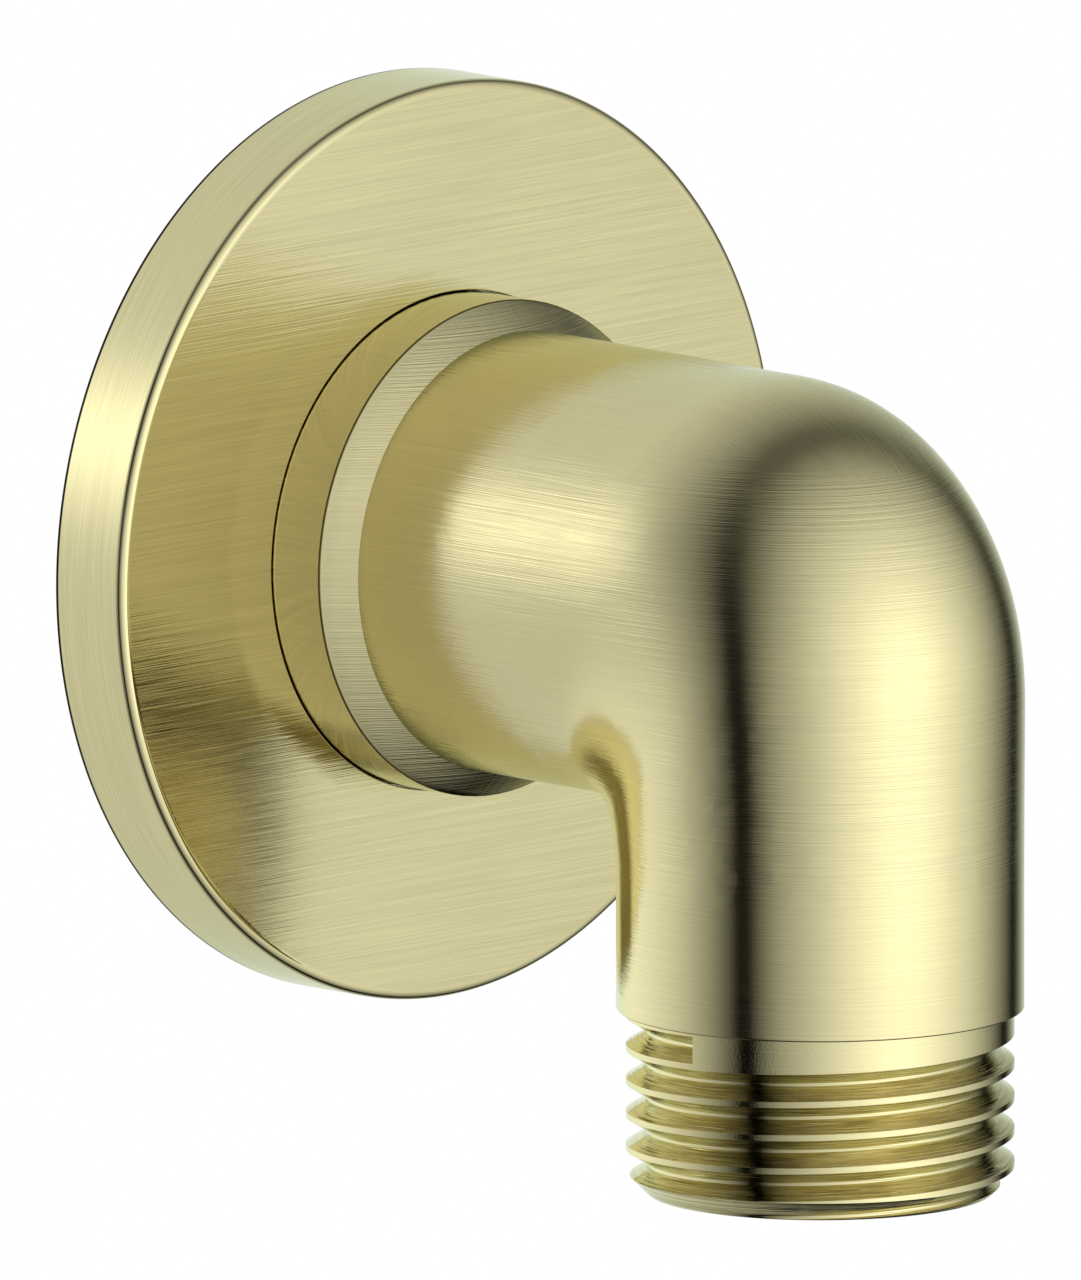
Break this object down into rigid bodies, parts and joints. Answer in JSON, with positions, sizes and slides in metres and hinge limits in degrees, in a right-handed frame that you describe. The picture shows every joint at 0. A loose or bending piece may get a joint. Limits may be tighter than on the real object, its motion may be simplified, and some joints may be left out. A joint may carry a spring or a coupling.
{
  "type": "wall outlet elbow",
  "caption": "Round shower wall outlet: a brushed brass elbow turns water from a wall fitting down to a threaded hose outlet, with a separate round cover flange.",
  "frame": {"origin": "on the inlet axis in the plane of the wall, which is the back edge of the flange", "axes": "+Y goes into the wall along the inlet, -Z points down out of the outlet, +X is to the right seen from the room"},
  "size_m": [0.05, 0.0562, 0.057],
  "materials": {
    "brushed_brass": "brushed pale gold on brass, lines along the arm and round the spout",
    "flange_brass": "brushed pale gold on brass, straight lines across the face",
    "seal_rubber": "matt black rubber"
  },
  "bodies": {
    "root": {"elbow_body": "brushed_brass", "wall_flange": "flange_brass", "flange_o_ring": "seal_rubber"}
  },
  "joints": []
}
